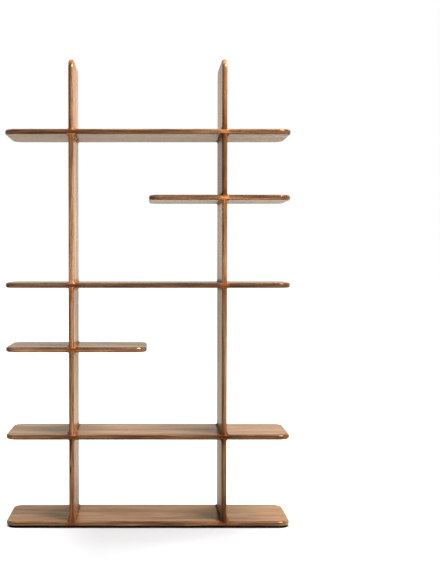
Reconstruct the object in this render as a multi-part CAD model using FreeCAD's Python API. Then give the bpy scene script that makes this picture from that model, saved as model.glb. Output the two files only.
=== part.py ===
import FreeCAD, Part
import math
import os
from FreeCAD import Vector

# Boards: two lengths, one depth and one thickness
shelf_length = 1100.0
short_shelf_length = 546.0
shelf_depth = 300.0
shelf_thickness = 20.0

# Spines: distance between their centres, and the thickness of their blades
spine_spacing = 588.0
blade_thickness = 20.0

# Clear heights between the boards, from the base up, and the free ends above the top board
base_bay = 316.0
lower_tall_bay = 318.0
lower_short_bay = 228.0
upper_tall_bay = 317.0
upper_short_bay = 231.0
finial_height = 269.0

# Shaping of the wood: plan corners, rounded edges and the coves at the crossings
corner_radius = 45.0
edge_radius = 8.0
edge_limit_share = 0.45
cove_radius = 5.0

# Housed joint where the foot of a blade is let into a board
housing_depth = 4.0
foot_margin = 2.0
joint_gap = 0.1

# Dowels that tie blade to blade through a board
dowel_diameter = 10.0
dowel_bite = 24.0
dowel_chamfer = 1.2
dowel_end_gap = 1.0
dowel_pitch = 100.0
dowel_count = 3

# Countersunk screws from under the base board into the lowest blades
screw_diameter = 5.0
screw_head_diameter = 10.0
screw_head_height = 2.8
screw_length = 60.0
screw_tip = 7.0
screw_sink = 0.6
screw_socket = 3.0
screw_socket_depth = 1.8
screw_gap = 0.1
screw_pitch = 65.0
screw_count = 3

# Round glides nailed under the base board
glide_diameter = 28.0
glide_height = 5.0
glide_round = 1.5
glide_end_inset = 60.0
glide_side_inset = 40.0
nail_diameter = 2.4
nail_head_diameter = 6.0
nail_head_height = 1.2
nail_sink = 1.4
nail_length = 16.0
nail_tip = 3.0
nail_gap = 0.1

# How far blanks and cutting bodies run past the finished wood
overrun = 15.0

# Half sizes and places that follow from the values above
half_length = shelf_length / 2
half_depth = shelf_depth / 2
half_blade = blade_thickness / 2
half_foot = half_blade + cove_radius + foot_margin
edge_round = min(edge_radius, edge_limit_share * shelf_thickness, edge_limit_share * blade_thickness)
web_thickness = shelf_thickness - 2 * housing_depth
left_x = -spine_spacing / 2
right_x = spine_spacing / 2
short_left_end = short_shelf_length - half_length
short_right_end = half_length - short_shelf_length

# Underside of each board, and the tip of the spines
base_z = glide_height
lower_z = base_z + shelf_thickness + base_bay
lower_left_z = lower_z + shelf_thickness + lower_tall_bay
middle_z = lower_left_z + shelf_thickness + lower_short_bay
upper_right_z = middle_z + shelf_thickness + upper_tall_bay
top_z = upper_right_z + shelf_thickness + upper_short_bay
tip_z = top_z + shelf_thickness + finial_height


def box(x_low, x_high, z_low, z_high):
    """Block through the whole depth and past the front and the rear."""
    reach = half_depth + overrun
    return Part.makeBox(x_high - x_low, 2 * reach, z_high - z_low, Vector(x_low, -reach, z_low))


def row(count, pitch):
    """Places along the depth for a centred row of fastenings."""
    return [(i - (count - 1) / 2) * pitch for i in range(count)]


def peg(radius, x, y, z_low, z_high):
    return Part.makeCylinder(radius, z_high - z_low, Vector(x, y, z_low))


def turned(profile, x, y, z):
    """Solid turned about a vertical axis from pairs of radius and height."""
    points = [Vector(radius, 0, height) for radius, height in profile]
    face = Part.Face(Part.makePolygon(points + points[:1]))
    solid = face.revolve(Vector(0, 0, 0), Vector(0, 0, 1), 360)
    solid.translate(Vector(x, y, z))
    return solid


def extruded(outline):
    """Block with the given front view; a corner with a radius becomes a tangent arc."""
    edges = []
    last = None
    count = len(outline)
    for i in range(count + 1):
        x, z, radius = outline[i % count]
        corner = Vector(x, -half_depth, z)
        before = Vector(outline[i % count - 1][0], -half_depth, outline[i % count - 1][1]) - corner
        after = Vector(outline[(i + 1) % count][0], -half_depth, outline[(i + 1) % count][1]) - corner
        start = corner + before.normalize() * radius
        end = corner + after.normalize() * radius
        if last is not None:
            edges.append(Part.LineSegment(last, start).toShape())
        if radius > 0 and i < count:
            inward = (before + after).normalize()
            middle = corner + inward * (radius * (math.sqrt(2) - 1))
            edges.append(Part.Arc(start, middle, end).toShape())
        last = end
    return Part.Face(Part.Wire(edges)).extrude(Vector(0, shelf_depth, 0))


def on_plane(edge, axis, place):
    bounds = edge.BoundBox
    low, high = {"x": (bounds.XMin, bounds.XMax), "z": (bounds.ZMin, bounds.ZMax)}[axis]
    return max(abs(low - place), abs(high - place)) < joint_gap


def sharp_edges(solid, cut_planes):
    """Edges where two faces meet at an angle, apart from those on faces that are cut away later."""
    found = []
    for edge in solid.Edges:
        if any(on_plane(edge, axis, place) for axis, place in cut_planes):
            continue
        middle = edge.valueAt((edge.FirstParameter + edge.LastParameter) / 2)
        faces = solid.ancestorsOfType(edge, Part.Face)
        normals = [face.normalAt(*face.Surface.parameter(middle)) for face in faces]
        if len(normals) == 2 and normals[0].getAngle(normals[1]) > math.pi / 4:
            found.append(edge)
    return found


def edges_at(solid, axis, places, direction):
    """Straight edges that run in a direction on one of the given planes."""
    found = []
    for edge in solid.Edges:
        run = edge.Vertexes[-1].Point - edge.Vertexes[0].Point
        along = run.Length > 0 and run.cross(direction).Length < joint_gap
        if along and any(on_plane(edge, axis, place) for place in places):
            found.append(edge)
    return found


def screw_hole(x, y):
    """Clearance hole and countersink through the base board."""
    head = screw_head_diameter / 2 + screw_gap
    shank = screw_diameter / 2 + screw_gap
    neck = screw_sink + screw_head_height
    end = shelf_thickness + overrun
    profile = [(0, -overrun), (head, -overrun), (head, screw_sink), (shank, neck), (shank, end), (0, end)]
    return turned(profile, x, y, base_z)


def make_board(x_low, x_high, z_low, spines, has_blades_below):
    """Board with rounded ends, shaped into the blades that stand on it and hang below it."""
    z_high = z_low + shelf_thickness
    stub = cove_radius + overrun
    below = spines if has_blades_below else []
    outline = [(x_low, z_low, 0)]
    for x in below:
        outline.append((x - half_blade, z_low, cove_radius))
        outline.append((x - half_blade, z_low - stub, 0))
        outline.append((x + half_blade, z_low - stub, 0))
        outline.append((x + half_blade, z_low, cove_radius))
    outline.append((x_high, z_low, 0))
    outline.append((x_high, z_high, 0))
    for x in reversed(spines):
        outline.append((x + half_blade, z_high, cove_radius))
        outline.append((x + half_blade, z_high + stub, 0))
        outline.append((x - half_blade, z_high + stub, 0))
        outline.append((x - half_blade, z_high, cove_radius))
    outline.append((x_low, z_high, 0))
    board = extruded(outline)
    board = board.makeFillet(corner_radius, edges_at(board, "x", [x_low, x_high], Vector(0, 0, 1)))
    cut_planes = [("z", z_high + stub), ("z", z_low - stub)]
    board = board.makeFillet(edge_round, sharp_edges(board, cut_planes))
    cuts = []
    half_housing = half_foot + joint_gap
    for x in spines:
        left = x - half_housing
        right = x + half_housing
        cuts.append(box(left, right, z_high - housing_depth, z_high + stub + overrun))
        if has_blades_below:
            cuts.append(box(left, right, z_low - stub - overrun, z_low + housing_depth))
            for y in row(dowel_count, dowel_pitch):
                cuts.append(peg(dowel_diameter / 2 + joint_gap, x, y, z_low - overrun, z_high + overrun))
    return board.cut(cuts)


def make_base():
    """Lowest board, with holes for the screws and for the nails of the glides."""
    board = make_board(-half_length, half_length, base_z, [left_x, right_x], False)
    cuts = []
    for x in (left_x, right_x):
        for y in row(screw_count, screw_pitch):
            cuts.append(screw_hole(x, y))
    nail_end = nail_sink + nail_length + nail_gap
    for x, y in glide_places():
        cuts.append(peg(nail_diameter / 2 + nail_gap, x, y, base_z - overrun, nail_end))
    return board.cut(cuts)


def foot_holes(x, z, up):
    """Blind dowel holes in the end of a blade, which lies at the floor of a housing."""
    depth = dowel_bite + dowel_end_gap
    low, high = (z - overrun, z + depth) if up else (z - depth, z + overrun)
    return [peg(dowel_diameter / 2 + joint_gap, x, y, low, high) for y in row(dowel_count, dowel_pitch)]


def pilot_holes(x):
    """Holes in the end of a lowest blade for the screws that come up through the base board."""
    end = base_z + screw_sink + screw_length + screw_gap
    radius = screw_diameter / 2 + screw_gap
    return [peg(radius, x, y, base_z, end) for y in row(screw_count, screw_pitch)]


def make_blade(x, z_low, z_high, on_base):
    """Blade between two boards: both ends flare in a cove to a foot that is let into the board."""
    reach = half_foot + overrun
    outline = [
        (x - reach, z_low - overrun, 0),
        (x + reach, z_low - overrun, 0),
        (x + reach, z_low, 0),
        (x + half_blade, z_low, cove_radius),
        (x + half_blade, z_high, cove_radius),
        (x + reach, z_high, 0),
        (x + reach, z_high + overrun, 0),
        (x - reach, z_high + overrun, 0),
        (x - reach, z_high, 0),
        (x - half_blade, z_high, cove_radius),
        (x - half_blade, z_low, cove_radius),
        (x - reach, z_low, 0),
    ]
    blank = extruded(outline)
    cut_planes = [("x", x - reach), ("x", x + reach), ("z", z_low - overrun), ("z", z_high + overrun)]
    blank = blank.makeFillet(edge_round, sharp_edges(blank, cut_planes))
    foot = z_low - housing_depth
    head = z_high + housing_depth
    blade = blank.common(box(x - half_foot, x + half_foot, foot, head))
    holes = pilot_holes(x) if on_base else foot_holes(x, foot, True)
    return blade.cut(holes + foot_holes(x, head, False))


def make_finial(x):
    """Free end of a spine above the top board, with rounded upper corners."""
    reach = half_foot + overrun
    z_low = top_z + shelf_thickness
    outline = [
        (x - reach, z_low - overrun, 0),
        (x + reach, z_low - overrun, 0),
        (x + reach, z_low, 0),
        (x + half_blade, z_low, cove_radius),
        (x + half_blade, tip_z, 0),
        (x - half_blade, tip_z, 0),
        (x - half_blade, z_low, cove_radius),
        (x - reach, z_low, 0),
    ]
    blank = extruded(outline)
    blank = blank.makeFillet(corner_radius, edges_at(blank, "z", [tip_z], Vector(1, 0, 0)))
    cut_planes = [("x", x - reach), ("x", x + reach), ("z", z_low - overrun)]
    blank = blank.makeFillet(edge_round, sharp_edges(blank, cut_planes))
    foot = z_low - housing_depth
    finial = blank.common(box(x - half_foot, x + half_foot, foot, tip_z + overrun))
    return finial.cut(foot_holes(x, foot, True))


def make_dowels(x, z):
    """Chamfered dowels through the board whose underside is at z."""
    length = web_thickness + 2 * dowel_bite
    radius = dowel_diameter / 2
    nose = radius - dowel_chamfer
    shoulder = length - dowel_chamfer
    profile = [(0, 0), (nose, 0), (radius, dowel_chamfer), (radius, shoulder), (nose, length), (0, length)]
    low = z + housing_depth - dowel_bite
    return Part.makeCompound([turned(profile, x, y, low) for y in row(dowel_count, dowel_pitch)])


def make_screws(x):
    """Countersunk screws with a hexagon socket, heads down, sunk into the base board."""
    head = screw_head_diameter / 2
    shank = screw_diameter / 2
    shoulder = screw_length - screw_tip
    profile = [(0, 0), (head, 0), (shank, screw_head_height), (shank, shoulder), (0, screw_length)]
    corner = screw_socket / math.sqrt(3)
    turns = [i * math.pi / 3 for i in range(7)]
    z = base_z + screw_sink
    screws = []
    for y in row(screw_count, screw_pitch):
        hexagon = [Vector(x + corner * math.cos(a), y + corner * math.sin(a), z) for a in turns]
        socket = Part.Face(Part.makePolygon(hexagon)).extrude(Vector(0, 0, screw_socket_depth))
        screws.append(turned(profile, x, y, z).cut(socket))
    return Part.makeCompound(screws)


def glide_places():
    """Two rows of glides: near the ends of the base board and under the spines."""
    ends = half_length - glide_end_inset
    side = half_depth - glide_side_inset
    return [(x, y) for x in (-ends, left_x, right_x, ends) for y in (-side, side)]


def make_glides():
    """Discs with a rounded lower rim and a sunk hole for the head of the nail."""
    radius = glide_diameter / 2
    shank = nail_diameter / 2 + nail_gap
    head = nail_head_diameter / 2 + nail_gap
    seat = nail_sink + nail_head_height
    profile = [(shank, seat), (head, seat), (head, 0), (radius, 0)]
    profile += [(radius, glide_height), (shank, glide_height)]
    disc = turned(profile, 0, 0, 0)
    rim = [e for e in disc.Edges if on_plane(e, "z", 0) and e.Length > math.pi * (radius + head)]
    disc = disc.makeFillet(glide_round, rim)
    return Part.makeCompound([disc.translated(Vector(x, y, 0)) for x, y in glide_places()])


def make_nails():
    """Nails with a flat head, driven up through the glides into the base board."""
    head = nail_head_diameter / 2
    shank = nail_diameter / 2
    shoulder = nail_length - nail_tip
    profile = [(0, 0), (head, 0), (head, nail_head_height), (shank, nail_head_height)]
    profile += [(shank, shoulder), (0, nail_length)]
    return Part.makeCompound([turned(profile, x, y, nail_sink) for x, y in glide_places()])


# Boards: both spines cross the long ones, one spine each short one
parts = {
    "base_shelf": make_base(),
    "lower_shelf": make_board(-half_length, half_length, lower_z, [left_x, right_x], True),
    "lower_left_shelf": make_board(-half_length, short_left_end, lower_left_z, [left_x], True),
    "middle_shelf": make_board(-half_length, half_length, middle_z, [left_x, right_x], True),
    "upper_right_shelf": make_board(short_right_end, half_length, upper_right_z, [right_x], True),
    "top_shelf": make_board(-half_length, half_length, top_z, [left_x, right_x], True),
    "glides": make_glides(),
    "glide_nails": make_nails(),
}

# Boards that each spine crosses, from the base up
crossings = {
    "left": (left_x, ["base", "lower", "lower_left", "middle", "top"]),
    "right": (right_x, ["base", "lower", "middle", "upper_right", "top"]),
}
levels = {
    "base": base_z,
    "lower": lower_z,
    "lower_left": lower_left_z,
    "middle": middle_z,
    "upper_right": upper_right_z,
    "top": top_z,
}
for side, (x, boards) in crossings.items():
    for number, (under, over) in enumerate(zip(boards, boards[1:]), 1):
        floor = levels[under] + shelf_thickness
        parts[side + "_blade_" + str(number)] = make_blade(x, floor, levels[over], under == "base")
        parts[side + "_dowels_" + over] = make_dowels(x, levels[over])
    parts[side + "_finial"] = make_finial(x)
    parts[side + "_base_screws"] = make_screws(x)

os.makedirs("parts", exist_ok=True)
for name, shape in parts.items():
    shape.exportStep("parts/" + name + ".step")
    print(name, len(shape.Solids), round(shape.Volume), shape.isValid())
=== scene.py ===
import bpy
import math
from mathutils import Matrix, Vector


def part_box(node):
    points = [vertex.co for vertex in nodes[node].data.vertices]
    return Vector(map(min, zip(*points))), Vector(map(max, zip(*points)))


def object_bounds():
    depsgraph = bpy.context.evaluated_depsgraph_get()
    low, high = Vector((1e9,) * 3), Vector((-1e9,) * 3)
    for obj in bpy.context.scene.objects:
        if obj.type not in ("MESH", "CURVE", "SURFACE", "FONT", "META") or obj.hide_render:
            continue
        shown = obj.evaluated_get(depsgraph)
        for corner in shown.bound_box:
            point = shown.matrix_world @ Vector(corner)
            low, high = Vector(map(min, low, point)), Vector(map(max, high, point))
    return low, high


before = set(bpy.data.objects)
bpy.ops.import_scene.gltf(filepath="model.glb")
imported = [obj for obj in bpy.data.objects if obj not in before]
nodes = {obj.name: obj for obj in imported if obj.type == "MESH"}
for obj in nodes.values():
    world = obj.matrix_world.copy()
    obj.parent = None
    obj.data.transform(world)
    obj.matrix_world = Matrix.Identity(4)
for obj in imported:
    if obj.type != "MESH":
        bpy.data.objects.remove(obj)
cad_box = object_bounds()

# Camera: focal length and main point in pixels of the photograph's frame, place in metres, tilt in degrees
IMAGE_WIDTH = 440
IMAGE_HEIGHT = 577
FOCAL_LENGTH = 1084.78
MAIN_POINT = (148.725, 296.903)
CAMERA_PLACE = (0.0033, -4.3062, 1.0288)
CAMERA_TILT_DOWN = 1.8749
CAMERA_CLIP_END = 200.0
SENSOR = 36.0

# Lamps: place, target and width in metres, power in watts, and whether gloss mirrors them.
# Key and back lamp together give the wedge of shadow beside each spine on the lower boards.
LAMPS = {
    "key": ((3.66, -3.29, 7.10), (0.0, 0.0, 0.8), 2.8, 1240.0, True),
    "back": ((3.16, 3.77, 7.10), (0.0, 0.0, 0.8), 4.0, 960.0, False),
    "side": ((2.3, -0.2, 1.9), (0.0, 0.0, 1.2), 2.0, 14.0, False),
}

# Room: its level near the horizon by direction, in shares of a turn from the front through the right,
# then its share of that higher up, and its level overhead, which grows to the back. Rises are in degrees.
ROOM_RING = (
    (0.0, 0.06), (0.125, 0.07), (0.25, 0.65), (0.375, 0.75),
    (0.5, 0.50), (0.625, 0.60), (0.75, 0.48), (0.875, 0.06), (1.0, 0.06),
)
ROOM_UPPER_SHARE = 0.60
ROOM_UPPER_RISE = (8.0, 38.0)
OVERHEAD = 1.7
OVERHEAD_LEAN_BACK = 1.2
OVERHEAD_RISE = (42.0, 72.0)

# White backdrop that gloss mirrors: where it sets in towards the back, and where it fades out upwards
BACKDROP_START = (0.5, 0.9)
BACKDROP_RISE = (1.5, 18.0)

# Floor: its colour, paler in front, and the glow that makes it white to the eye away from the base.
# Gloss sees a dimmer glow, which grows behind the shelf. Each change lies between two places in Y.
FLOOR_SIZE = 80.0
FLOOR_ROUGHNESS = 0.9
FLOOR_COLOUR = 0.36
FLOOR_COLOUR_FRONT = 0.60
FLOOR_COLOUR_CHANGE = (-1.0, -0.7)
FLOOR_GLOW_NEAR = 0.22
FLOOR_GLOW_FRONT = 0.21
FLOOR_GLOW_CHANGE = (-0.36, -0.17)
FLOOR_GLOW_FAR = 0.90
FLOOR_GLOW_MIRRORED = 0.02
FLOOR_GLOW_MIRRORED_FAR = 0.44
FLOOR_GLOW_MIRRORED_CHANGE = (1.0, 14.0)

# Floor painted black under the base as painted shade: a rectangle by its inset from the base's sides, and how
# far outside it the
# open floor sets in. Shaded floor: a rectangle by centre and half sizes, and how far outside it shade ends.
UNDER_BASE_SHADE_INSET = (0.045, 0.041)
UNDER_BASE_SHADE_EDGE = (0.035, 0.051)
SHADE_CENTRE = (0.15, -0.38)
SHADE_HALF = (0.30, 0.22)
SHADE_EDGE = (0.0, 0.55)

# Wood colours from dark to pale, with their places on a scale from 0 to 1, and the contrast about the mean
WALNUT = (
    (0.00, (0.058, 0.023, 0.010)),
    (0.25, (0.145, 0.061, 0.025)),
    (0.50, (0.300, 0.133, 0.057)),
    (0.75, (0.490, 0.258, 0.120)),
    (1.00, (0.690, 0.450, 0.245)),
)
BEECH = (
    (0.00, (0.360, 0.225, 0.120)),
    (1.00, (0.560, 0.390, 0.230)),
)
MEAN_LEVEL = 0.56
STAVE_CONTRAST = 0.16
BROAD_FACE_CONTRAST = 0.75

# Glued staves, the range and least value of the place of their centres of growth, and the rings about these
STAVE_WIDTH = 0.075
STAVE_JUMP = 0.31
SEED_SHIFT = 0.013
SEED_SHIFTS = 7
SEED_STRIDE = 13.7
GROWTH_SIDE = (0.09, -0.045)
GROWTH_DEPTH = (0.05, 0.018)
RINGS_PER_METRE = 210.0
RING_BEND = 0.045
RING_DARKENS = (0.15, 0.86)
RING_ENDS = (0.90, 1.0)

# Figure: how often each part changes in a metre along, across and through the grain,
# and the limits of the noise between which some parts set in
BEND_SCALES = (2.3, 7.0, 7.0)
BAND_SCALES = (1.7, 26.0, 38.0)
STREAK_SCALES = (5.5, 95.0, 130.0)
VEIN_SCALES = (2.6, 60.0, 85.0)
VEIN_LIMITS = (0.58, 0.70)
FIBRE_SCALES = (16.0, 420.0, 420.0)
PORE_SCALES = (60.0, 1500.0, 1500.0)
PORE_LIMITS = (0.60, 0.72)
REDNESS_SCALES = (3.0, 40.0, 60.0)
REDNESS_LIMITS = (0.42, 0.66)

# Tints that the wood is multiplied by, and how far at most: in redder streaks, about the joints as darker,
# redder painted shade, in the middle of the joints as darker painted shade or a paler painted highlight, in
# knots and on end grain
RED_TINT = (1.03, 0.93, 0.86, 1.0)
JOINT_SHADE_TINT = (1.10, 0.80, 0.50, 1.0)
JOINT_SHADE_TINT_SHARE = 0.85
DARK_CORE_SHADE = (0.68, 0.63, 0.60, 1.0)
PALE_CORE_HIGHLIGHT = (1.75, 1.85, 2.15, 1.0)
BLADE_CORE_SHADES = {"left": (0.85, 0.92, 1.10, 1.0), "right": (0.74, 0.72, 0.74, 1.0)}
KNOT_TINT = (0.22, 0.16, 0.13, 1.0)
KNOT_TINT_SHARE = 0.9
KNOT_EDGE = (0.45, 1.0)
KNOT_RAGGEDNESS = 1.6
END_GRAIN_TINT = (0.62, 0.55, 0.50, 1.0)
END_GRAIN_TINT_SHARE = 0.8

# Reach and start of the painted shade, darker and redder wood, from the middle of a crossing or the end of a
# blade, the shares of that reach that the core and the dull wood take,
# and the distances from the middle of a board's depth between which a pale core, a painted highlight, sets in
BOARD_JOINT_SHADE = (0.036, 0.010)
BLADE_JOINT_SHADE = (0.065, 0.004)
CORE_SHARE = 0.5
DULL_SHARE = 0.25
PALE_CORE_HIGHLIGHT_EDGE = (0.12, 0.14)

# How squarely a face must turn to count as a broad face or as end grain
BROAD_FACE_TURN = (0.6, 0.95)
END_GRAIN_TURN = (0.45, 0.98)

# Oiled finish: the fibres mirror in their own warm colour under a thin clear film, with a weak sheen.
# Smooth figure is glossier, pores and joints are duller, and paler blades are smoother.
FIBRE_GLOSS = 0.43
GLOSS_TINT = (1.0, 0.80, 0.49, 1.0)
FILM_IOR = 1.13
BOARD_SHEEN = 0.16
BLADE_SHEEN = 0.04
SHEEN_ROUGHNESS = 0.5
SHEEN_TINT = (1.0, 0.92, 0.82, 1.0)
BOARD_ROUGHNESS = 0.36
BLADE_ROUGHNESS = 0.38
BLADE_ROUGHNESS_BY_TONE = 0.17
BLADE_MEAN_TONE = 0.86
POLISH = 0.24
LEAST_SMOOTH = 0.1
MOST_SMOOTH = 0.9
PORE_DULLNESS = 0.04
JOINT_DULLNESS = 0.3
PORE_DEPTH = 0.8
GRAIN_BUMP = {"Strength": 0.06, "Distance": 0.0004}

# Tone and grain of each board and blade
BOARDS = {
    "base_shelf": (0.65, 372),
    "lower_shelf": (0.60, 2),
    "lower_left_shelf": (0.59, 3),
    "middle_shelf": (0.36, 4),
    "upper_right_shelf": (0.64, 255),
    "top_shelf": (0.55, 406),
}
BLADES = {
    "left_blade_1": (0.82, 271),
    "left_blade_2": (0.82, 222),
    "left_blade_3": (1.04, 373),
    "left_blade_4": (0.96, 374),
    "left_finial": (1.01, 225),
    "right_blade_1": (0.42, 76),
    "right_blade_2": (0.58, 377),
    "right_blade_3": (0.75, 178),
    "right_blade_4": (0.48, 179),
    "right_finial": (1.02, 280),
}
DOWEL_TONE = 1.0
DOWEL_GRAIN = 41

# Crossings with a pale core, a painted highlight, and knots by their place from the blade's centre and their
# half sizes
PALE_HIGHLIGHT_JOINTS = {("middle_shelf", "right"), ("upper_right_shelf", "right"), ("top_shelf", "right")}
KNOTS = {"left_blade_1": [((-0.003, -0.148, 0.045), (0.004, 0.012, 0.032))]}

SCREW_COLOUR = (0.42, 0.41, 0.38)
NAIL_COLOUR = (0.36, 0.36, 0.35)
GLIDE_COLOUR = (0.012, 0.011, 0.010)
GLIDE_BUMP = {"Strength": 0.3, "Distance": 0.0002}
WHITE = (1.0, 1.0, 1.0, 1.0)


def add(tree, kind, inputs=None, **settings):
    """Adds a node, changes its settings, and sets or links its inputs."""
    node = tree.nodes.new("ShaderNode" + kind)
    for key, value in settings.items():
        setattr(node, key, value)
    for key, value in (inputs or {}).items():
        if isinstance(value, bpy.types.NodeSocket):
            tree.links.new(value, node.inputs[key])
        else:
            node.inputs[key].default_value = value
    return node


def maths(tree, operation, *values):
    node = add(tree, "Math", dict(enumerate(values)), operation=operation)
    return node.outputs[0]


def ramp(tree, factor, stops):
    """Colour ramp through pairs of place and colour."""
    node = add(tree, "ValToRGB", {"Fac": factor})
    elements = node.color_ramp.elements
    while len(elements) < len(stops):
        elements.new(0.5)
    for element, (place, colour) in zip(elements, stops):
        element.position = place
        element.color = (*colour, 1.0)
    return node.outputs["Color"]


def step(tree, value, low, high, to_low=0.0, to_high=1.0):
    """Smooth change from one value to another as a value goes from low to high."""
    places = {"Value": value, "From Min": low, "From Max": high, "To Min": to_low, "To Max": to_high}
    return add(tree, "MapRange", places, interpolation_type="SMOOTHSTEP").outputs["Result"]


def noise(tree, axes, scales, detail, seed, roughness=0.55):
    """Noise in a space stretched by the given scales, one for each axis."""
    parts = [maths(tree, "MULTIPLY", axis, scale) for axis, scale in zip(axes, scales)]
    place = add(tree, "CombineXYZ", dict(enumerate(parts))).outputs[0]
    settings = {"Vector": place, "W": seed, "Scale": 1.0, "Detail": detail, "Roughness": roughness}
    return add(tree, "TexNoise", settings, noise_dimensions="4D").outputs["Fac"]


def tinted(tree, colour, factor, tint):
    """Colour multiplied by a tint, as far as the factor says."""
    inputs = {"Factor": factor, 6: colour, 7: tint}
    return add(tree, "Mix", inputs, data_type="RGBA", blend_type="MULTIPLY").outputs[2]


def length_of(tree, *parts):
    squares = [maths(tree, "MULTIPLY", part, part) for part in parts]
    total = squares[0]
    for square in squares[1:]:
        total = maths(tree, "ADD", total, square)
    return maths(tree, "SQRT", total)


def new_material(name):
    material = bpy.data.materials.new(name)
    material.use_nodes = True
    return material, material.node_tree, material.node_tree.nodes["Principled BSDF"]


def staves(tree, across, seed):
    """Glued staves: a coordinate that jumps from one to the next, the place in a stave, and its own chances."""
    shifted = maths(tree, "ADD", across, 1.0 + SEED_SHIFT * (seed % SEED_SHIFTS))
    count = maths(tree, "FLOOR", maths(tree, "DIVIDE", shifted, STAVE_WIDTH))
    key = maths(tree, "ADD", count, seed * SEED_STRIDE)
    chance = add(tree, "TexWhiteNoise", {"W": key}, noise_dimensions="1D")
    chances = add(tree, "SeparateColor", {0: chance.outputs["Color"]}).outputs
    from_side = maths(tree, "SUBTRACT", shifted, maths(tree, "MULTIPLY", count, STAVE_WIDTH))
    in_stave = maths(tree, "SUBTRACT", from_side, STAVE_WIDTH / 2)
    return maths(tree, "MULTIPLY_ADD", count, STAVE_JUMP, shifted), in_stave, chances


def growth_rings(tree, axes, in_stave, chances, seed):
    """Rings about each stave's own centre of growth, bent along the grain."""
    side = maths(tree, "ADD", in_stave, maths(tree, "MULTIPLY_ADD", chances[0], *GROWTH_SIDE))
    deep = maths(tree, "ADD", axes[2], maths(tree, "MULTIPLY_ADD", chances[1], *GROWTH_DEPTH))
    bend = noise(tree, axes, BEND_SCALES, 3.0, seed)
    radius = maths(tree, "MULTIPLY_ADD", bend, RING_BEND, length_of(tree, side, deep))
    turn = maths(tree, "FRACT", maths(tree, "MULTIPLY", radius, RINGS_PER_METRE))
    return maths(tree, "MULTIPLY", step(tree, turn, *RING_DARKENS), step(tree, turn, *RING_ENDS, 1.0, 0.0))


def calmed(tree, value, calm):
    """Value drawn towards the mean level."""
    return maths(tree, "MULTIPLY_ADD", maths(tree, "SUBTRACT", value, MEAN_LEVEL), calm, MEAN_LEVEL)


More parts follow.
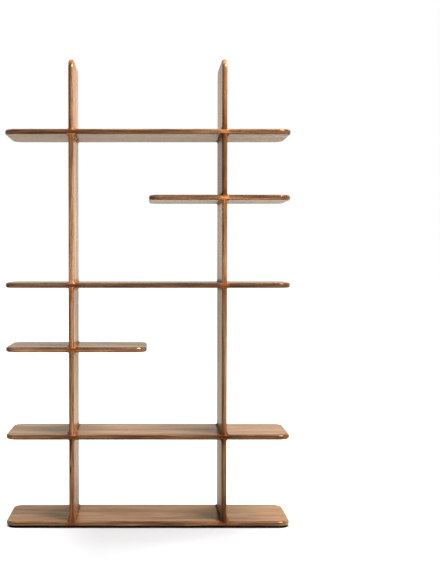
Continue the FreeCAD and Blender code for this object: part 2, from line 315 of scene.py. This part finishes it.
def wood(name, grain, centre, seed, tone, palette, joints=(), knots=(), roughness=BOARD_ROUGHNESS, sheen=0.0):
    """Solid wood of glued staves, in three dimensions, with its grain along the X or the Z axis.

    Joints are places along the grain, each with the reach and start of the painted shade, darker and redder
    wood, about it and the tint of its core, which is darker painted shade or a paler painted highlight. Knots
    are places in metres from the centre, each with its three half sizes."""
    material, tree, shader = new_material(name)
    palette = [(stop, tuple(tone * part for part in colour)) for stop, colour in palette]
    place = add(tree, "TexCoord").outputs["Object"]
    local = add(tree, "VectorMath", {0: place, 1: centre}, operation="SUBTRACT").outputs[0]
    x, across, z = add(tree, "SeparateXYZ", {0: local}).outputs
    along, through = (x, z) if grain == "X" else (z, x)
    in_board, in_stave, chances = staves(tree, across, seed)
    axes = (along, in_board, through)

    # Rings, broad bands, narrow streaks, dark veins, fine fibres and pores, all drawn out along the grain
    ring = growth_rings(tree, axes, in_stave, chances, seed)
    band = noise(tree, axes, BAND_SCALES, 3.0, seed + 2.0)
    streak = noise(tree, axes, STREAK_SCALES, 3.0, seed + 3.0, 0.6)
    vein = step(tree, noise(tree, axes, VEIN_SCALES, 2.0, seed + 4.0), *VEIN_LIMITS)
    fibre = noise(tree, axes, FIBRE_SCALES, 2.0, seed + 5.0)
    pore = step(tree, noise(tree, axes, PORE_SCALES, 1.0, seed + 7.0), *PORE_LIMITS)

    # Each part, counted from its middle, makes the wood paler by its strength and smoother by its polish
    own_tone = maths(tree, "SUBTRACT", chances[2], 0.5)
    level = maths(tree, "MULTIPLY_ADD", own_tone, STAVE_CONTRAST, MEAN_LEVEL)
    smooth = level
    for part, middle, strength, polish in (
        (band, 0.5, 1.50, 1.20), (streak, 0.5, 1.45, 0.80), (fibre, 0.5, 0.60, 0.0),
        (ring, 0.5, -0.18, 0.0), (vein, 0.0, -0.30, -0.20), (pore, 0.0, -0.16, 0.0),
    ):
        change = maths(tree, "SUBTRACT", part, middle)
        level = maths(tree, "MULTIPLY_ADD", change, strength, level)
        smooth = maths(tree, "MULTIPLY_ADD", change, polish, smooth)

    # Broad faces show a calmer figure than edges
    normal = add(tree, "NewGeometry").outputs["Normal"]
    facing = add(tree, "SeparateXYZ", {0: normal}).outputs
    to_face, to_end = (facing[2], facing[0]) if grain == "X" else (facing[0], facing[2])
    calm = step(tree, maths(tree, "ABSOLUTE", to_face), *BROAD_FACE_TURN, 1.0, BROAD_FACE_CONTRAST)
    smooth = maths(tree, "MAXIMUM", calmed(tree, smooth, calm), LEAST_SMOOTH)
    smooth = maths(tree, "MINIMUM", smooth, MOST_SMOOTH)
    colour = ramp(tree, calmed(tree, level, calm), palette)
    redness = step(tree, noise(tree, axes, REDNESS_SCALES, 2.0, seed + 9.0), *REDNESS_LIMITS)
    colour = tinted(tree, colour, redness, RED_TINT)

    # Painted shade: the wood is darker and redder about the joints, where shade falls in the corners, and its
    # core is darker painted shade or, near the edges of some crossings, a paler painted highlight. It is also
    # duller about the joints, and nearly black in the knots
    dull = maths(tree, "MULTIPLY", pore, PORE_DULLNESS)
    for spot, reach, start, core in joints:
        away = maths(tree, "ABSOLUTE", maths(tree, "SUBTRACT", along, spot))
        about = step(tree, away, start, start + reach, JOINT_SHADE_TINT_SHARE, 0.0)
        colour = tinted(tree, colour, about, JOINT_SHADE_TINT)
        near = step(tree, away, start, start + CORE_SHARE * reach, 1.0, 0.0)
        # The pale core is a painted highlight, kept to the board's front and back edges
        if core == PALE_CORE_HIGHLIGHT:
            at_edge = step(tree, maths(tree, "ABSOLUTE", across), *PALE_CORE_HIGHLIGHT_EDGE)
            near = maths(tree, "MULTIPLY", near, at_edge)
        colour = tinted(tree, colour, near, core)
        worked = step(tree, away, start, start + DULL_SHARE * reach, JOINT_DULLNESS, 0.0)
        dull = maths(tree, "MAXIMUM", dull, worked)
    for spot, sizes in knots:
        offset = add(tree, "VectorMath", {0: local, 1: spot}, operation="SUBTRACT").outputs[0]
        share = add(tree, "VectorMath", {0: offset, 1: sizes}, operation="DIVIDE").outputs[0]
        away = add(tree, "VectorMath", {0: share}, operation="LENGTH").outputs["Value"]
        ragged = maths(tree, "MULTIPLY_ADD", maths(tree, "SUBTRACT", streak, 0.5), KNOT_RAGGEDNESS, away)
        inside = step(tree, ragged, *KNOT_EDGE, KNOT_TINT_SHARE, 0.0)
        colour = tinted(tree, colour, inside, KNOT_TINT)

    # End grain drinks more oil and is darker
    end = step(tree, maths(tree, "ABSOLUTE", to_end), *END_GRAIN_TURN, 0.0, END_GRAIN_TINT_SHARE)
    colour = tinted(tree, colour, end, END_GRAIN_TINT)
    tree.links.new(colour, shader.inputs["Base Color"])

    rough = maths(tree, "ADD", maths(tree, "MULTIPLY_ADD", smooth, -POLISH, roughness), dull)
    tree.links.new(rough, shader.inputs["Roughness"])
    shader.inputs["IOR"].default_value = FILM_IOR
    shader.inputs["Sheen Weight"].default_value = sheen
    shader.inputs["Sheen Roughness"].default_value = SHEEN_ROUGHNESS
    shader.inputs["Sheen Tint"].default_value = SHEEN_TINT
    shader.inputs["Metallic"].default_value = FIBRE_GLOSS
    shader.inputs["Specular Tint"].default_value = GLOSS_TINT
    height = maths(tree, "MULTIPLY_ADD", pore, -PORE_DEPTH, fibre)
    bump = add(tree, "Bump", {"Height": height, **GRAIN_BUMP})
    tree.links.new(bump.outputs["Normal"], shader.inputs["Normal"])
    return material


def mottled(name, colour, scale, detail, paler, roughness):
    """Material with a fine mottle between a colour and a paler one, and the mottle for further use."""
    material, tree, shader = new_material(name)
    place = add(tree, "TexCoord").outputs["Object"]
    mottle = add(tree, "TexNoise", {"Vector": place, "Scale": scale, "Detail": detail}).outputs["Fac"]
    pale = tuple(min(1.0, paler * part) for part in colour)
    tree.links.new(ramp(tree, mottle, ((0.3, colour), (0.7, pale))), shader.inputs["Base Color"])
    tree.links.new(step(tree, mottle, 0.3, 0.7, *roughness), shader.inputs["Roughness"])
    return material, tree, shader, mottle


def steel(name, colour):
    """Plated steel with a fine mottle."""
    material, _, shader, _ = mottled(name, colour, scale=900.0, detail=4.0, paler=1.25, roughness=(0.28, 0.45))
    shader.inputs["Metallic"].default_value = 1.0
    return material


def moulded_plastic(name, colour):
    """Dark plastic with a fine moulded texture."""
    material, tree, shader, texture = mottled(
        name, colour, scale=1400.0, detail=3.0, paler=1.5, roughness=(0.5, 0.65)
    )
    bump = add(tree, "Bump", {"Height": texture, **GLIDE_BUMP})
    tree.links.new(bump.outputs["Normal"], shader.inputs["Normal"])
    return material


def dress(name, material):
    mesh = nodes[name].data
    mesh.materials.clear()
    mesh.materials.append(material)


def centre_of(name):
    low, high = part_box(name)
    return tuple((a + b) / 2 for a, b in zip(low, high))


def dress_boards():
    spines = {side: centre_of(side + "_blade_1")[0] for side in ("left", "right")}
    for name, (tone, seed) in BOARDS.items():
        centre = centre_of(name)
        joints = []
        for side, place in spines.items():
            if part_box(name)[0][0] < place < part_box(name)[1][0]:
                # The pale core paints a highlight at these crossings, and the dark core paints shade at the
                # others
                core = PALE_CORE_HIGHLIGHT if (name, side) in PALE_HIGHLIGHT_JOINTS else DARK_CORE_SHADE
                joints.append((place - centre[0], *BOARD_JOINT_SHADE, core))
        dress(name, wood("wood_" + name, "X", centre, seed, tone, WALNUT, joints, sheen=BOARD_SHEEN))


def dress_blades():
    for name, (tone, seed) in BLADES.items():
        centre = centre_of(name)
        ends = [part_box(name)[0][2] - centre[2]]
        if "finial" not in name:
            ends.append(-ends[0])
        # The blade ends carry painted shade about the crossings
        core = BLADE_CORE_SHADES[name.split("_")[0]]
        joints = [(end, *BLADE_JOINT_SHADE, core) for end in ends]
        knots = KNOTS.get(name, ())
        roughness = BLADE_ROUGHNESS + BLADE_ROUGHNESS_BY_TONE * (BLADE_MEAN_TONE - tone)
        dress(name, wood(
            "wood_" + name, "Z", centre, seed, tone, WALNUT, joints, knots, roughness, BLADE_SHEEN
        ))


def dress_fittings():
    dowel_wood = wood("dowel_wood", "Z", (0.0, 0.0, 0.0), DOWEL_GRAIN, DOWEL_TONE, BEECH)
    screw_steel = steel("screw_steel", SCREW_COLOUR)
    for name in nodes:
        if "dowels" in name:
            dress(name, dowel_wood)
        elif "screws" in name:
            dress(name, screw_steel)
    dress("glide_nails", steel("nail_steel", NAIL_COLOUR))
    dress("glides", moulded_plastic("glide_plastic", GLIDE_COLOUR))


def past_box(tree, x, y, centre, half):
    """Distance outside a rectangle on the floor."""
    parts = []
    for value, middle, reach in zip((x, y), centre, half):
        away = maths(tree, "ABSOLUTE", maths(tree, "SUBTRACT", value, middle))
        parts.append(maths(tree, "MAXIMUM", maths(tree, "SUBTRACT", away, reach), 0.0))
    return length_of(tree, *parts)


def camera_and_mirrored_rays(tree):
    """Whether a ray comes from the camera, and whether it comes by gloss or glass."""
    rays = add(tree, "LightPath").outputs
    mirrored = maths(tree, "MAXIMUM", rays["Is Glossy Ray"], rays["Is Transmission Ray"])
    return rays["Is Camera Ray"], mirrored


def make_floor():
    """Pale floor that shows the shadow of the shelf and is white to the eye away from it."""
    half = FLOOR_SIZE / 2
    corners = [(-half, -half, 0), (half, -half, 0), (half, half, 0), (-half, half, 0)]
    mesh = bpy.data.meshes.new("floor")
    mesh.from_pydata(corners, [], [(0, 1, 2, 3)])
    floor = bpy.data.objects.new("floor", mesh)
    bpy.context.scene.collection.objects.link(floor)
    material, tree, shader = new_material("floor")
    mesh.materials.append(material)
    shader.inputs["Roughness"].default_value = FLOOR_ROUGHNESS
    shader.inputs["Specular IOR Level"].default_value = 0.0
    shader.inputs["Emission Color"].default_value = WHITE

    # The floor under the base is painted black as painted shade, and its colour and its glow set in at the
    # base's edge
    place = add(tree, "TexCoord").outputs["Object"]
    x, y, _ = add(tree, "SeparateXYZ", {0: place}).outputs
    shade_under_base = [side - inset for side, inset in zip(cad_box[1], UNDER_BASE_SHADE_INSET)]
    open_floor = step(tree, past_box(tree, x, y, (0.0, 0.0), shade_under_base), *UNDER_BASE_SHADE_EDGE)
    pale = step(tree, y, *FLOOR_COLOUR_CHANGE, FLOOR_COLOUR_FRONT, FLOOR_COLOUR)
    tree.links.new(maths(tree, "MULTIPLY", open_floor, pale), shader.inputs["Base Color"])

    # Only the camera, and gloss more dimly, see the glow: it casts no light on the shelf
    shaded = step(tree, y, *FLOOR_GLOW_CHANGE, FLOOR_GLOW_FRONT, FLOOR_GLOW_NEAR)
    past_shade = past_box(tree, x, y, SHADE_CENTRE, SHADE_HALF)
    bright = step(tree, past_shade, *SHADE_EDGE, shaded, FLOOR_GLOW_FAR)
    glow = maths(tree, "MULTIPLY", open_floor, bright)
    by_camera, mirrored = camera_and_mirrored_rays(tree)
    behind = step(tree, y, *FLOOR_GLOW_MIRRORED_CHANGE, FLOOR_GLOW_MIRRORED, FLOOR_GLOW_MIRRORED_FAR)
    limit = maths(tree, "MULTIPLY_ADD", mirrored, behind, by_camera)
    tree.links.new(maths(tree, "MINIMUM", glow, limit), shader.inputs["Emission Strength"])


def make_world():
    """Dim room about the shelf, and a white backdrop that only the camera and gloss see."""
    world = bpy.data.worlds.new("studio")
    bpy.context.scene.world = world
    world.use_nodes = True
    tree = world.node_tree
    tree.nodes.clear()
    direction = add(tree, "TexCoord").outputs["Generated"]
    x, y, z = add(tree, "SeparateXYZ", {0: direction}).outputs
    turn = maths(tree, "ARCTAN2", x, maths(tree, "MULTIPLY", y, -1.0))
    share = maths(tree, "FRACT", maths(tree, "DIVIDE", turn, math.tau))
    rise = maths(tree, "DEGREES", maths(tree, "ARCSINE", z))

    ring = ramp(tree, share, [(place, (level,) * 3) for place, level in ROOM_RING])
    sides = maths(tree, "MULTIPLY", ring, step(tree, rise, *ROOM_UPPER_RISE, 1.0, ROOM_UPPER_SHARE))
    overhead = maths(tree, "MULTIPLY_ADD", maths(tree, "COSINE", turn), -OVERHEAD_LEAN_BACK, OVERHEAD)
    blend = {"Factor": step(tree, rise, *OVERHEAD_RISE), "A": sides, "B": overhead}
    level = add(tree, "Mix", blend).outputs["Result"]
    room = add(tree, "Background", {"Color": WHITE, "Strength": level})

    backdrop = add(tree, "Background", {"Color": WHITE, "Strength": 1.0})
    low = step(tree, rise, *BACKDROP_RISE, 1.0, 0.0)
    behind = maths(tree, "MULTIPLY", step(tree, y, *BACKDROP_START), low)
    by_camera, mirrored = camera_and_mirrored_rays(tree)
    seen = maths(tree, "MAXIMUM", by_camera, maths(tree, "MULTIPLY", mirrored, behind))
    shown = add(tree, "MixShader", {0: seen, 1: room.outputs[0], 2: backdrop.outputs[0]})
    add(tree, "OutputWorld", {"Surface": shown.outputs[0]})


def area_light(name, place, target, width, power, mirrored):
    """Square lamp that faces its target and isn't seen by the camera."""
    light = bpy.data.lights.new(name, "AREA")
    light.shape = "RECTANGLE"
    light.size = light.size_y = width
    light.energy = power
    lamp = bpy.data.objects.new(name, light)
    bpy.context.scene.collection.objects.link(lamp)
    lamp.location = place
    aim = [t - p for t, p in zip(target, place)]
    turn = math.atan2(aim[0], -aim[1])
    fall = math.atan2(math.hypot(aim[0], aim[1]), -aim[2])
    lamp.rotation_euler = (fall, 0.0, math.pi + turn)
    lamp.visible_camera = False
    lamp.visible_glossy = mirrored


def make_camera():
    """Camera of the photograph, with the shift that its off-centre framing needs."""
    data = bpy.data.cameras.new("camera")
    data.sensor_fit = "AUTO"
    data.sensor_width = SENSOR
    data.lens = FOCAL_LENGTH * SENSOR / IMAGE_HEIGHT
    data.shift_x = (IMAGE_WIDTH / 2 - MAIN_POINT[0]) / IMAGE_HEIGHT
    data.shift_y = (MAIN_POINT[1] - IMAGE_HEIGHT / 2) / IMAGE_HEIGHT
    data.clip_end = CAMERA_CLIP_END
    camera = bpy.data.objects.new("camera", data)
    bpy.context.scene.collection.objects.link(camera)
    camera.location = CAMERA_PLACE
    camera.rotation_euler = (math.radians(90.0 - CAMERA_TILT_DOWN), 0.0, 0.0)
    bpy.context.scene.camera = camera


dress_boards()
dress_blades()
dress_fittings()
make_floor()
make_world()
for name, values in LAMPS.items():
    area_light(name, *values)
make_camera()
bpy.context.scene.view_settings.view_transform = "Standard"
